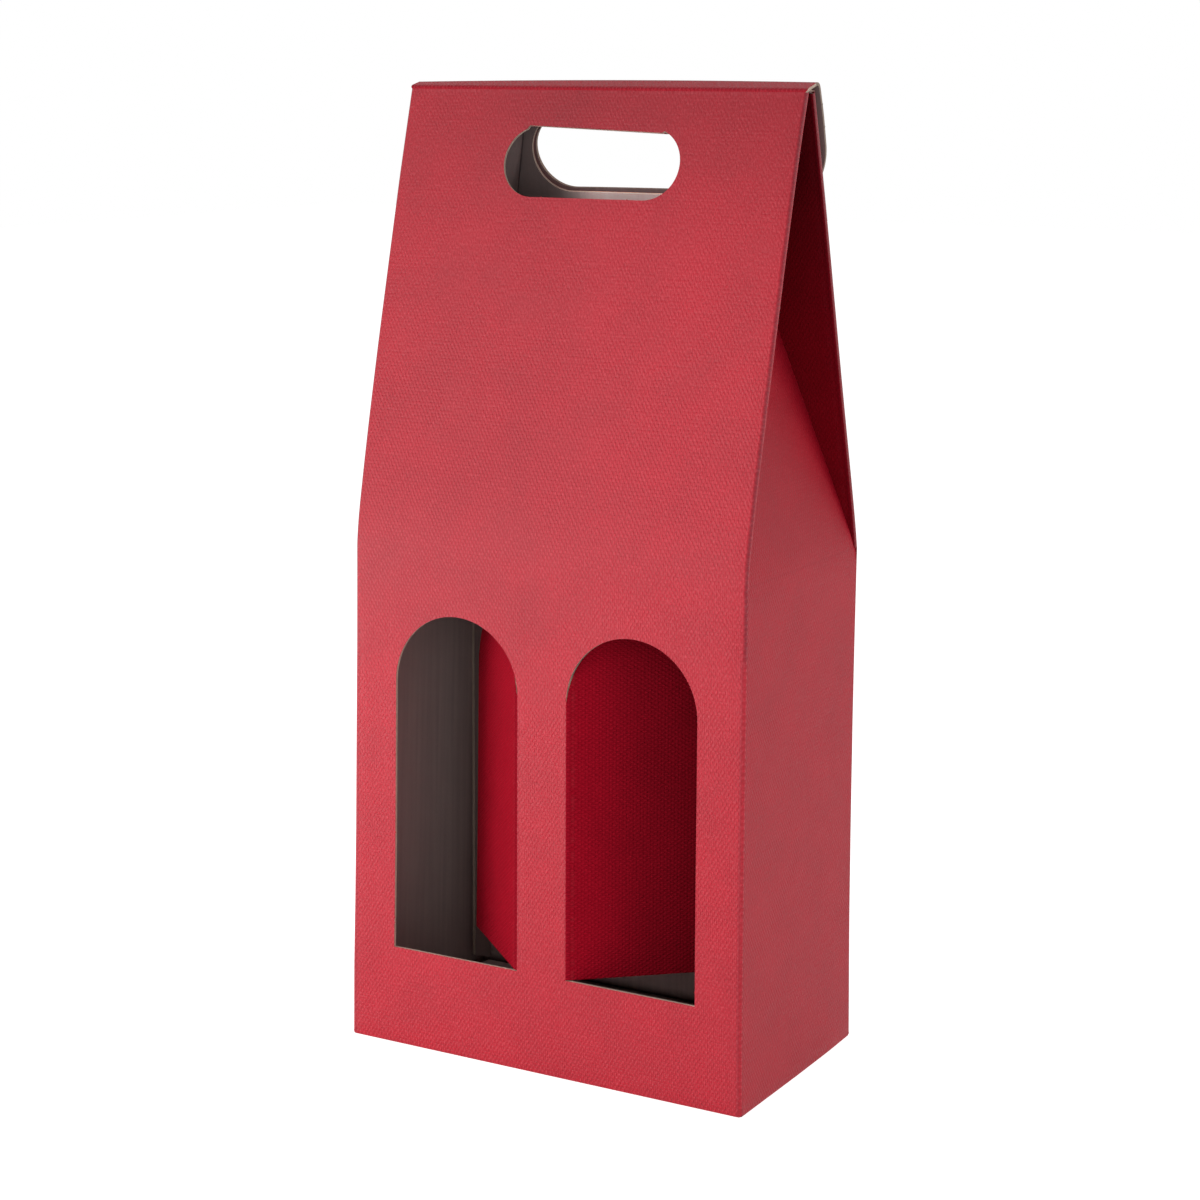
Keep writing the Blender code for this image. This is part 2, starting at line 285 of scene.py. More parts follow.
def cut(board, operation, loops):
    """Cuts the flat board with outlines, or down to one."""
    work = bmesh.new()
    for loop in loops:
        prism_into(work, *([(x, y, z) for x, y in loop] for z in (-CUTTER_REACH, CUTTER_REACH)))
    knife = mesh_object(board.name + "_knife", work)
    modifier = board.modifiers.new(operation, "BOOLEAN")
    modifier.operation = operation
    modifier.object = knife
    graph = bpy.context.evaluated_depsgraph_get()
    work = bmesh.new()
    work.from_mesh(board.evaluated_get(graph).data)
    board.modifiers.clear()
    bpy.data.objects.remove(knife, do_unlink=True)
    # a long face along a cut would span the fold that it gets later
    bmesh.ops.triangulate(work, faces=[face for face in work.faces if len(face.verts) > 4])
    work.to_mesh(board.data)
    work.free()


def flat_board(name, outline, holes, across, along):
    """A board as it lies in the blank; across and along are its grid lines."""
    board = grid_board(name, [across[0] - GRID] + across + [across[-1] + GRID],
                       [along[0] - GRID] + along + [along[-1] + GRID])
    cut(board, "INTERSECT", [outline])
    if holes:
        cut(board, "DIFFERENCE", holes)
    return board


# Folding


def ramp(value, start, end):
    """0 before start, 1 after end, smooth between."""
    share = np.clip((value - start) / (end - start), 0, 1)
    return share * share * (3 - 2 * share)


class Crease:
    """Where the board bends: before and after are its directions, soft is half the bend."""

    def __init__(self, place, across, before, after, soft):
        self.place = np.array(place)
        self.across = np.array(across)
        self.before = np.array(before)
        self.after = np.array(after)
        self.soft = soft

    def fold(self, u, v, w):
        """Points in the frame, of points u across, v past the crease and w off the middle."""
        soft = self.soft
        share = np.clip(v / (2 * soft) + 0.5, 0, 1)[:, None]
        tangent = (1 - share) * self.before + share * self.after
        tangent /= np.linalg.norm(tangent, axis=1)[:, None]
        middle = share**2 * soft * self.after - (1 - share) ** 2 * soft * self.before
        middle += np.minimum(v + soft, 0)[:, None] * self.before
        middle += np.maximum(v - soft, 0)[:, None] * self.after
        normal = np.cross(self.across, tangent)
        return self.place + middle + u[:, None] * self.across + w[:, None] * normal


def bowed(hinge_point, across, up, bow, u, v, w):
    """A gable that bows out from its straight line by bow(v), seen along across."""
    across, up = np.array(across), np.array(up)
    out = np.cross(across, up)
    step = CREASE_STEP
    slope = (bow(v + step) - bow(v)) / step
    tangent = up + slope[:, None] * out
    tangent /= np.linalg.norm(tangent, axis=1)[:, None]
    place = np.array(hinge_point) + v[:, None] * up + bow(v)[:, None] * out
    return place + u[:, None] * across + w[:, None] * np.cross(across, tangent)


def rolled(u, w):
    """Past its flat half width a gable's board turns round a half circle and runs back."""
    past = np.abs(u) - WING_FOLD
    turn = np.clip(past / ROLL, 0, math.pi)
    beyond = np.maximum(past - math.pi * ROLL, 0)
    reach = np.minimum(np.abs(u), WING_FOLD) + (ROLL + w) * np.sin(turn) - beyond
    return np.sign(u) * reach, (ROLL + w) * np.cos(turn) - ROLL


def front_bow(x, v):
    """How far the front gable stands out from its straight line; it bends softly off the wall."""
    size = shape()
    share = np.clip(v / (FRONT_LENGTH - size.ridge_soft), 0, 1)
    side = (x / HALF_WIDTH + 1) / 2
    power = size.bow_left + (size.bow_right - size.bow_left) * side
    return size.bow * (1 - np.exp(-share / size.bow_start)) * (1 - share**power)


def back_bow(v):
    """The back gable bends just as softly, and bellies out below the closing flap."""
    size = shape()
    rise = 1 - np.exp(-np.maximum(v, 0) / size.back_bow_start)
    return size.back_bow * rise + size.back_belly * ramp(v, BACK_LENGTH * 0.3, BACK_LENGTH * 0.8)


def foot_and(after, wall, across):
    """The long bottom flap, the fold at the floor and the wall, then what comes after it."""
    up_wall = Crease(wall + Z * SKIN, across, np.cross(across, Z), Z, shape().bottom_soft)

    def fold(u, v, w):
        x, lift = rolled(u, w)
        low = up_wall.fold(x, v - SKIN, lift)
        return np.where((v > SHOULDER)[:, None], after(x, v - SHOULDER, lift), low)

    return fold


def front_fold():
    """The front board, from its bottom flap to the ridge."""
    def gable(x, v, lift):
        return bowed(FRONT_HINGE, X, FRONT_UP, lambda past: front_bow(x, past), x, v, lift)

    return foot_and(gable, Vector((0, FRONT_HINGE.y, 0)), X)


def back_fold():
    """The back board, from its bottom flap up; it is drawn from behind, so its u is minus x."""
    def gable(x, v, lift):
        return bowed(BACK_HINGE, -X, BACK_UP, back_bow, x, v, lift)

    return foot_and(gable, Vector((0, BACK_HINGE.y, 0)), -X)


def side_fold(side):
    """A side wall and the gusset above it; side is 1 on the right and -1 on the left."""
    lean = shape().gusset_lean
    after = Vector((-side * math.sin(lean), 0, math.cos(lean)))
    wall = X * side * SIDE_PLANE
    foot = Crease(wall + Z * SKIN, Y * side, X * side, Z, shape().bottom_soft)
    shoulder = Crease(wall + Z * SHOULDER, Y * side, Z, after, shape().shoulder_soft)

    def fold(u, v, w):
        low = foot.fold(u, v - SKIN, w)
        return np.where((v > SHOULDER / 2)[:, None], shoulder.fold(u, v - SHOULDER, w), low)

    return fold


def settle(points):
    """The whole carrier leans and bellies a little, as glued and folded board does."""
    x, y, z = points.T
    left = np.interp(z, *zip(*LEFT_SPREAD)) * MM
    rear = np.interp(z, *zip(*REAR_SPREAD)) * MM
    right = np.interp(z, *zip(*RIGHT_SPREAD)) * np.interp(y, *zip(*RIGHT_FOOT)) * MM
    x += np.minimum(x / HALF_WIDTH, 0) * left + np.maximum(x / HALF_WIDTH, 0) * right
    y += np.clip(y / HALF_DEPTH, 0, 1) * rear
    return points


def fold_board(board, fold, creases=(), ends=None, outside=lambda u, v: FACING, tone=1.0,
               wear=0.3, painted_liner_shading=0.0):
    """Folds a flat board and keeps each point's place in the blank, and its nearest crease.

    Tone, wear and the liner's shading are numbers, or functions of the place. The tone is
    painted light and shade, darker on boards in shade and paler on the floor; a worn board's
    embossing is flat; the liner's shading paints shade on the liner only, or light below 0.
    """
    mesh = board.data
    count = len(mesh.vertices)
    flat = np.empty(count * 3, np.float32)
    mesh.vertices.foreach_get("co", flat)
    finish_faces(mesh, ends, outside)
    keep(mesh, "flat", flat)
    u, v, w = flat.reshape(-1, 3).astype(float).T
    keep(mesh, "crease", nearest_crease(creases, u, v).ravel())
    # The paper attribute carries the tone's painted light and shade, the wear and the liner's
    # painted shading
    paper = [value(u, v) if callable(value) else np.full(count, value)
             for value in (tone, wear, painted_liner_shading)]
    keep(mesh, "paper", np.stack(paper, axis=1).ravel())
    folded = settle(fold(u, v, w))
    mesh.vertices.foreach_set("co", folded.astype(np.float32).ravel())
    mesh.update()


def keep(mesh, name, values):
    """Keeps a vector of each point as an attribute, for the materials."""
    mesh.attributes.new(name, "FLOAT_VECTOR", "POINT").data.foreach_set("vector", values)


def nearest_crease(creases, u, v):
    """Distance to the nearest crease, the place along it, and how strongly it is scored.

    A crease is (axis, place, low, high, strength): axis 0 runs up the board and 1 across it.
    """
    found = np.tile(np.array([FAR, 0, 0]), (len(u), 1))
    for axis, place, low, high, strength in creases:
        along, off = (v, np.abs(u - place)) if axis == 0 else (u, np.abs(v - place))
        score = strength * ramp(along, low, low + GRID) * (1 - ramp(along, high - GRID, high))
        closer = (off < found[:, 0]) | ((off == found[:, 0]) & (score > found[:, 2]))
        found[closer] = np.stack([off, along, score], axis=1)[closer]
    return found


def finish_faces(mesh, ends, outside):
    """Facing paper outside, liner inside, and the cut through the board between them."""
    mesh.materials.clear()
    for name in FINISHES:
        mesh.materials.append(bpy.data.materials[name])
    kind = np.empty(len(mesh.polygons), np.int32)
    for polygon in mesh.polygons:
        height = polygon.normal.z
        if abs(height) > 0.5:
            kind[polygon.index] = outside(*polygon.center[:2]) if height > 0 else LINER
        else:
            kind[polygon.index] = ends(*polygon.center[:2]) if ends else CUT_EDGE
    mesh.polygons.foreach_set("material_index", kind)
    mesh.shade_smooth()
    beside = {}
    for polygon in mesh.polygons:
        side = round(polygon.normal.z)
        for key in polygon.edge_keys:
            beside.setdefault(key, set()).add(side)
    sharp = mesh.attributes.new("sharp_edge", "BOOLEAN", "EDGE")
    sharp.data.foreach_set("value", [len(beside[edge.key]) > 1 for edge in mesh.edges])


def torn_tag(board, u, v, way_u, way_v, reach=0.0006, width=0.0011):
    """A torn tag of board where the die left a bridge; way points off the cut edge."""
    across = Vector((-way_v, way_u, 0))
    ahead = Vector((way_u, way_v, 0))
    root = Vector((u, v, 0)) - ahead * width / 4
    work = bmesh.new()
    work.from_mesh(board.data)
    profile = ((-0.5, 0), (-0.38, 0.7), (-0.05, 1.0), (0.2, 0.75), (0.5, 0))
    ring = [root + across * width * a + ahead * reach * b for a, b in profile]
    prism_into(work, *([point + Z * SKIN * rise for point in ring] for rise in (-0.5, 0.8)))
    work.to_mesh(board.data)
    work.free()


# Materials


def feed(tree, socket, value):
    """Gives a node's socket a value, or links another node's socket to it."""
    if isinstance(value, bpy.types.NodeSocket):
        tree.links.new(value, socket)
    elif value is not None:
        socket.default_value = value


def add(tree, kind, *values, **settings):
    """A node whose inputs, in order, are fed by values or by other nodes' sockets."""
    made = tree.nodes.new("ShaderNode" + kind)
    for key, value in settings.items():
        setattr(made, key, value)
    for socket, value in zip(made.inputs, values):
        feed(tree, socket, value)
    return made


def calc(tree, operation, *values, clamp=False):
    return add(tree, "Math", *values, operation=operation, use_clamp=clamp).outputs[0]


def times(tree, *values):
    return calc(tree, "MULTIPLY", *values)


def mix(tree, factor, first, second, blend="MIX"):
    made = add(tree, "Mix", data_type="RGBA", blend_type=blend)
    for place, value in ((0, factor), (6, first), (7, second)):
        feed(tree, made.inputs[place], value)
    return made.outputs[2]


def tinted(tree, colour, tone):
    """A colour times a tone that varies over the board."""
    return mix(tree, 1.0, colour, tone, "MULTIPLY")


def scaled(colour, factor):
    """A colour times a number."""
    return (*(channel * factor for channel in colour), 1)


def noise(tree, place, scale, stretch=(1, 1, 1), detail=3, rough=0.55):
    """Noise from 0 to 1 about a half, over a place in metres; scale is features per metre."""
    fitted = add(tree, "VectorMath", place, stretch, operation="MULTIPLY").outputs[0]
    return add(tree, "TexNoise", fitted, None, scale, detail, rough).outputs["Fac"]


def between(tree, value, low, high):
    """0 where value is at low and 1 at high, smooth between."""
    return add(tree, "MapRange", value, low, high, 0.0, 1.0,
               interpolation_type="SMOOTHSTEP").outputs[0]


def split(tree, vector):
    """The three numbers of a vector."""
    return add(tree, "SeparateXYZ", vector).outputs


def group(name, inputs, outputs):
    """An empty node group; gives its tree, what it is given and what it has to feed."""
    tree = bpy.data.node_groups.new(name, "ShaderNodeTree")
    for socket, kind, value in inputs:
        made = tree.interface.new_socket(socket, in_out="INPUT", socket_type="NodeSocket" + kind)
        if value is not None:
            made.default_value = value
    for socket in outputs:
        tree.interface.new_socket(socket, in_out="OUTPUT", socket_type="NodeSocketFloat")
    given, result = tree.nodes.new("NodeGroupInput"), tree.nodes.new("NodeGroupOutput")
    return tree, given.outputs, result.inputs


def turns(tree, along, pitch):
    """The angle that a wave of this pitch has reached at a place along it."""
    return calc(tree, "DIVIDE", times(tree, along, 2 * math.pi), pitch)


def use(tree, name, **values):
    """A group in a material, with its named inputs fed; gives its outputs."""
    made = add(tree, "Group", node_tree=bpy.data.node_groups[name])
    for key, value in values.items():
        feed(tree, made.inputs[key], value)
    return made.outputs


def emboss_group():
    """Oblong dots in staggered rows, pressed up from the paper."""
    tree, given, result = group("Emboss", [
        ("Place", "Vector", None), ("Pitch", "Float", 0.00177), ("Row", "Float", 0.00141),
        ("Wear", "Float", 0.0)], ["Dots"])
    places = split(tree, given["Place"])
    jitter = times(tree, calc(tree, "SUBTRACT", noise(tree, given["Place"], 160), 0.5), 0.00035)
    waves = []
    for place, pitch in ((places[0], given["Pitch"]), (places[1], times(tree, given["Row"], 2.0))):
        shifted = calc(tree, "ADD", place, jitter)
        waves.append(calc(tree, "COSINE", turns(tree, shifted, pitch)))
    dots = between(tree, times(tree, *waves), -0.05, 0.75)
    left = calc(tree, "SUBTRACT", 1.0, given["Wear"], clamp=True)
    feed(tree, result["Dots"], times(tree, dots, left))


def mottle_group():
    """Cloudy, fibrous and streaky unevenness of paper, about 1, and its finest fibres."""
    tree, given, result = group("Paper mottle", [
        ("Place", "Vector", None), ("Cloud", "Float", 0.1), ("Fibre", "Float", 0.1),
        ("Streak", "Float", 0.0)], ["Tone", "Fine"])
    place = given["Place"]
    fibres = noise(tree, place, 1500, (1, 0.45, 1), detail=2)
    tone = 1.0
    for name, field in (("Cloud", noise(tree, place, 45, detail=4)), ("Fibre", fibres),
                        ("Streak", noise(tree, place, 420, (1, 0.03, 1), detail=2))):
        tone = calc(tree, "MULTIPLY_ADD", calc(tree, "SUBTRACT", field, 0.5), given[name], tone)
    feed(tree, result["Tone"], tone)
    feed(tree, result["Fine"], fibres)


def crease_group():
    """The score of a crease: a broad shade, a dashed line on it, and a rubbed rim beside it."""
    tree, given, result = group("Crease", [
        ("Crease", "Vector", None), ("Half width", "Float", 0.0003),
        ("Shade width", "Float", 0.0011), ("Dash pitch", "Float", 0.0018)],
        ["Shade", "Line", "Rim"])
    off, along, score = split(tree, given["Crease"])
    ragged = noise(tree, given["Crease"], 900, (0.3, 1, 0), detail=2)
    shift = times(tree, calc(tree, "SUBTRACT", ragged, 0.5), 0.0006)
    near = between(tree, calc(tree, "ABSOLUTE", calc(tree, "ADD", off, shift)),
                   times(tree, given["Half width"], 1.7), times(tree, given["Half width"], 0.5))
    wave = calc(tree, "SINE", turns(tree, along, given["Dash pitch"]))
    dash = between(tree, calc(tree, "MULTIPLY_ADD", ragged, 2.2, wave), 0.0, 1.0)
    strong = calc(tree, "MULTIPLY_ADD", score, 1.54, -0.54, clamp=True)
    feed(tree, result["Line"], times(tree, calc(tree, "MULTIPLY_ADD", dash, 0.5, 0.3),
                                     times(tree, near, strong)))
    held = calc(tree, "MINIMUM", times(tree, score, 3.0), 1.0)
    feed(tree, result["Shade"], times(tree, between(tree, off, given["Shade width"], 0.0), held))
    rim = times(tree, between(tree, off, 0.0009, 0.0014), between(tree, off, 0.0032, 0.0022))
    patchy = between(tree, noise(tree, given["Crease"], 260, (0.2, 1, 0)), 0.38, 0.62)
    feed(tree, result["Rim"], times(tree, times(tree, rim, patchy), score))


def flute_group():
    """Board seen on its cut: two papers and the waved one between them."""
    tree, given, result = group("Flutes", [
        ("Place", "Vector", None), ("Pitch", "Float", 0.0034), ("Half", "Float", 0.0006)],
        ["Paper"])
    along, _, depth = split(tree, given["Place"])
    wave = times(tree, calc(tree, "SINE", turns(tree, along, given["Pitch"])),
                 times(tree, given["Half"], 0.6))
    off = calc(tree, "ABSOLUTE", calc(tree, "SUBTRACT", depth, wave))
    middle = between(tree, off, 0.00022, 0.0001)
    outer = between(tree, calc(tree, "ABSOLUTE", depth), times(tree, given["Half"], 0.55),
                    times(tree, given["Half"], 0.75))
    feed(tree, result["Paper"], calc(tree, "MAXIMUM", middle, outer))


def new_material(name, roughness, specular):
    """A material, its tree and its shader's inputs."""
    material = bpy.data.materials.new(name)
    material.use_nodes = True
    shader = material.node_tree.nodes["Principled BSDF"].inputs
    shader["Roughness"].default_value = roughness
    shader["Specular IOR Level"].default_value = specular
    return material, material.node_tree, shader


def carried(tree, name):
    """What each point of a folded board carries: flat, crease or paper."""
    return add(tree, "Attribute", attribute_name=name).outputs["Vector"]


def painted_shading_tone(tree):
    """The tone's painted light and shade, less the liner's painted shading."""
    tone, _, painted_liner_shading = split(tree, carried(tree, "paper"))
    return times(tree, tone, calc(tree, "SUBTRACT", 1.0, painted_liner_shading))


def coat(tree, shader, colour, height, depth):
    """Feeds a board's shader with its colour, and with a height as bump."""
    feed(tree, shader["Base Color"], colour)
    made = add(tree, "Bump")
    made.inputs["Distance"].default_value = depth
    feed(tree, made.inputs["Height"], height)
    feed(tree, shader["Normal"], made.outputs[0])


def facing_material(name, roughness, specular):
    look = finish()
    _, tree, shader = new_material(name, roughness, specular)
    flat = carried(tree, "flat")
    tone, wear, _ = split(tree, carried(tree, "paper"))
    rubs = between(tree, noise(tree, flat, 30, detail=4), 0.4, 0.75)
    emboss = use(tree, "Emboss", Place=flat, Wear=calc(tree, "MULTIPLY_ADD", rubs, 0.3, wear))
    paper = use(tree, "Paper mottle", Place=flat, Cloud=look.cloud, Fibre=look.fibre)
    fold = use(tree, "Crease", Crease=carried(tree, "crease"))
    crease, rubbed = (*look.crease, 1), (*look.rubbed, 1)
    # The dots are painted lighter than the valleys: painted highlight on the dots, painted shade
    # between them
    colour = mix(tree, emboss["Dots"], (*look.facing_valley_shade, 1), (*look.facing, 1))
    colour = tinted(tree, colour, paper["Tone"])
    colour = mix(tree, times(tree, fold["Shade"], 0.4), colour, crease)
    colour = mix(tree, times(tree, fold["Rim"], 0.12), colour, rubbed)
    colour = mix(tree, fold["Line"], colour, crease)
    # Pale fibres scaled by the specular level: partly the paper's fibres, partly painted sheen
    fluff_and_sheen = times(tree, between(tree, paper["Fine"], 0.45, 0.85), look.fluff_and_sheen * specular)
    # The tone paints light and shade: darker where the board lies in shade, paler on the floor
    colour = tinted(tree, mix(tree, fluff_and_sheen, colour, rubbed), tone)
    feed(tree, shader["Roughness"],
         calc(tree, "MULTIPLY_ADD", paper["Fine"], 0.25, roughness - 0.125))
    height = calc(tree, "ADD", paper["Fine"], emboss["Dots"])
    coat(tree, shader, colour, calc(tree, "MULTIPLY_ADD", fold["Line"], -0.3, height),
         look.emboss_depth)


def liner_material(name):
    look = finish()
    _, tree, shader = new_material(name, roughness=0.85, specular=0.25)
    paper = use(tree, "Paper mottle", Place=carried(tree, "flat"), Cloud=0.12, Fibre=0.12,
                Streak=0.35)
    fold = use(tree, "Crease", Crease=carried(tree, "crease"))
    colour = tinted(tree, (*look.liner, 1), paper["Tone"])
    colour = mix(tree, times(tree, fold["Shade"], 0.25), colour, (*look.liner_crease, 1))
    coat(tree, shader, tinted(tree, colour, painted_shading_tone(tree)), paper["Fine"],
         look.emboss_depth / 3)


def cut_edge_material(name):
    look = finish()
    _, tree, shader = new_material(name, roughness=0.9, specular=0.2)
    flat = carried(tree, "flat")
    paper = use(tree, "Paper mottle", Place=flat, Cloud=0.5, Fibre=0.5)
    flutes = use(tree, "Flutes", Place=flat)
    # Between the papers the cut shows the hollows of the flutes, painted shade at 0.65 of the edge's
    # colour
    colour = mix(tree, flutes["Paper"], scaled(look.cut_edge, 0.65), (*look.cut_edge, 1))
    colour = tinted(tree, colour, paper["Tone"])
    skin = between(tree, split(tree, flat)[2], SKIN * 0.78, SKIN * 0.95)
    colour = mix(tree, skin, colour, (*look.facing, 1))
    coat(tree, shader, tinted(tree, colour, painted_shading_tone(tree)), flutes["Paper"],
         look.emboss_depth)


def board_of_node(name, outward, across, along, painted_brightness):
    """Finish for a CAD board that stays as it is: its sides are told apart by their normal."""
    look = finish()
    material, tree, shader = new_material("board, " + name, roughness=0.8, specular=0.3)
    coordinate = add(tree, "TexCoord").outputs

    def part_along(vector, axis):
        return add(tree, "VectorMath", vector, tuple(axis),
                   operation="DOT_PRODUCT").outputs["Value"]

    flat = add(tree, "CombineXYZ", *(part_along(coordinate["Object"], axis)
                                     for axis in (across, along))).outputs[0]
    facing = part_along(coordinate["Normal"], outward)
    paper = use(tree, "Paper mottle", Place=flat, Cloud=0.12, Fibre=0.12, Streak=0.2)
    emboss = use(tree, "Emboss", Place=flat)
    # The dots are painted lighter than the valleys: painted highlight on the dots, painted shade
    # between them
    print_side = mix(tree, emboss["Dots"], (*look.facing_valley_shade, 1), (*look.facing, 1))
    # The liner is scaled as painted light or shade: paler on the bottom, darker on the glue flap
    colour = mix(tree, between(tree, facing, 0.6, 0.8), scaled(look.liner, painted_brightness), print_side)
    edge = between(tree, calc(tree, "ABSOLUTE", facing), 0.6, 0.4)
    colour = mix(tree, edge, colour, scaled(look.cut_edge, 0.4))
    coat(tree, shader, tinted(tree, colour, paper["Tone"]), paper["Fine"], look.emboss_depth / 3)
    return material


def board_materials():
    look = finish()
    for build in (emboss_group, mottle_group, crease_group, flute_group):
        build()
    facing_material(FINISHES[FACING], look.facing_roughness, look.facing_specular)
    # The sheltered and side facings are less glossy copies of the facing: painted shade
    facing_material(FINISHES[SHADED_FACING], look.shaded_facing_roughness, look.shaded_facing_specular)
    facing_material(FINISHES[SIDE], look.facing_roughness, look.side_specular)
    liner_material(FINISHES[LINER])
    cut_edge_material(FINISHES[CUT_EDGE])


# Boards


def rolled_ends(u, v):
    """A gable's board shows its facing where it turns the corner, and is cut elsewhere."""
    return FACING if abs(abs(u) - CORNER_END) < CREASE_STEP / 10 else CUT_EDGE


def bottom_outline(outline_top):
    """A wall board's outline: its long bottom flap below, and outline_top as its height."""
    size = shape()
    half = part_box("bottom_front")[1].x
    start = HALF_DEPTH - SKIN
    long_edge = SKIN - (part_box("bottom_front")[1].y + start)
    short_edge = long_edge + size.bottom_step
    corner = size.bottom_corner
    slope = size.bottom_slope / 2
    foot = CORNER_FOOT
    return [(-half, long_edge + corner), (corner - half, long_edge), (-slope, long_edge),
            (slope, short_edge), (half - corner, short_edge), (half, short_edge + corner),
            (half, foot), (CORNER_END, foot), (CORNER_END, outline_top),
            (-CORNER_END, outline_top), (-CORNER_END, foot), (-half, foot)]


def wall_lines(top):
    """Grid lines of a wall board, close together at its rolled edges and its bends."""
    size = shape()
    across = lines(span(-WING_FOLD, WING_FOLD, GRID), span(WING_FOLD, CORNER_END, ROLL_STEP),
                   span(-CORNER_END, -WING_FOLD, ROLL_STEP))
    foot = size.bottom_soft
    along = lines(span(-HALF_DEPTH * 1.3, SKIN - foot, GRID),
                  span(SKIN - foot, SKIN + foot, CREASE_STEP / 2), span(SKIN + foot, top, GRID),
                  span(SHOULDER, SHOULDER + size.shoulder_zone, GRID / 4))
    return across, along


def wall_creases(top):
    """Corners are scored softly below the shoulder and dashed above it."""
    return [crease for side in (-1, 1) for crease in (
        (0, side * WING_FOLD, -GRID, SHOULDER - SOFT_SCORE_END, 0.35),
        (0, side * (WING_FOLD + DASHED_SCORE_ASIDE), SHOULDER - DASHED_SCORE_START, top + GRID,
         1.0))]


def gable_wear(u, v):
    """Hands wear the gables smooth towards the ridge."""
    return 0.2 + 0.5 * ramp(v, SHOULDER + 0.02, SHOULDER + 0.14)


def floor_painted_light(u, v):
    """The bottom's paper is painted paler than the rest: painted light on the floor inside."""
    return np.where(v < 0, FLOOR_PAINTED_LIGHT, 1.0)


def front_board():
    size = shape()
    middle = size.window_post / 2 + size.window_width / 2
    windows = [arch(side * middle, size.window_width / 2, size.window_sill, size.window_spring)
               for side in (-1, 1)]
    ridge = SHOULDER + FRONT_LENGTH
    top = ridge - size.ridge_soft
    hand_slot = slot(ridge - size.slot_drop, size.handle_half, size.slot_radius,
                     ridge - size.slot_fold, size.slot_tilt)
    board = flat_board("front_board", bottom_outline(top), windows + [hand_slot],
                       *wall_lines(top))
    left, right = -middle - size.window_width / 2, middle + size.window_width / 2
    for v in LEFT_WINDOW_TAGS:
        torn_tag(board, left, v, 1, 0)
    torn_tag(board, right, RIGHT_WINDOW_TAG, -1, 0)
    low = ridge - size.slot_drop - size.slot_radius
    for u in HAND_SLOT_TAGS:
        torn_tag(board, u, low, 0, 1)
    creases = wall_creases(top)
    creases += [(0, side * size.window_post / 2, size.window_sill, size.window_spring, 0.3)
                for side in (-1, 1)]
    creases += [(1, ridge - size.slot_fold, -size.handle_half, size.handle_half, 0.3),
                (1, ridge, -FAR, FAR, 0.5)]

    def shade(u, v):
        """Painted shade: darker towards the ridge, more so at the right, and above the left window.
        """
        high = ramp(v, ridge - 0.07, ridge - 0.005) * (0.4 + 0.6 * ramp(u, -HALF_WIDTH, 0))
        over = ramp(v, SHOULDER - 0.06, SHOULDER - 0.01) * ramp(-u, -0.05, 0.03)
        return floor_painted_light(u, v) - RIDGE_PAINTED_SHADE * high - LEFT_UPPER_PAINTED_SHADE * over

    def ends(u, v):
        return FACING if v > top - CREASE_STEP / 10 else rolled_ends(u, v)

    fold_board(board, front_fold(), creases, ends, tone=shade, wear=gable_wear)
    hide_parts("front_wall", "front_gable", "bottom_front")
    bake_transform(board)


def back_board():
    size = shape()
    top = SHOULDER + BACK_LENGTH
    level = HANDLE_HINGE.z - size.back_hole_drop - SHOULDER
    hole = slot(SHOULDER + level / math.cos(BACK_LEAN), size.handle_half, size.back_hole_radius)
    board = flat_board("back_board", bottom_outline(top), [hole], *wall_lines(top))
    for rise, reach in BACK_EDGE_TAGS:
        for side in (-1, 1):
            torn_tag(board, side * CORNER_END, SHOULDER + rise, side, 0, reach)

    def shade(u, v):
        # Painted shade on the back gable's rolled edges, and painted light on the floor
        edge = ramp(np.abs(u), WING_FOLD, CORNER_END) * ramp(v, SHOULDER, SHOULDER + 0.03)
        return floor_painted_light(u, v) - (1 - BACK_EDGE_PAINTED_SHADE) * edge

    def painted_liner_shading(u, v):
        """Painted shade on the liner left of the hole, painted light right of it, seen from the
        front.
        """
        pale = ramp(-u, -0.035, -0.01)
        return ramp(v, top - 0.08, top - 0.06) * (HOLE_LINER_PAINTED_SHADE - (HOLE_LINER_PAINTED_SHADE + HOLE_LINER_PAINTED_LIGHT) * pale)

    fold_board(board, back_fold(), wall_creases(top), rolled_ends, tone=shade,
               wear=gable_wear, painted_liner_shading=painted_liner_shading)
    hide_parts("back_wall", "back_gable", "bottom_back")
    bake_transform(board)


def wing_face(gable, side, height):
    """How far back a wing's facing lies, at a height above the shoulder."""
    depth = WING_MIDDLE + SKIN
    if gable == "back":
        up_slope = (height - depth * math.sin(BACK_LEAN)) / math.cos(BACK_LEAN)
        bow = float(back_bow(np.array([up_slope]))[0])
        return BACK_HINGE.y - height * math.tan(BACK_LEAN) - (depth - bow) / math.cos(BACK_LEAN)
    up_slope = (height + depth * math.sin(FRONT_LEAN)) / math.cos(FRONT_LEAN)
    bow = float(front_bow(np.array([side * HALF_WIDTH]), np.array([up_slope]))[0])
    return FRONT_HINGE.y + height * math.tan(FRONT_LEAN) + (depth - bow) / math.cos(FRONT_LEAN)


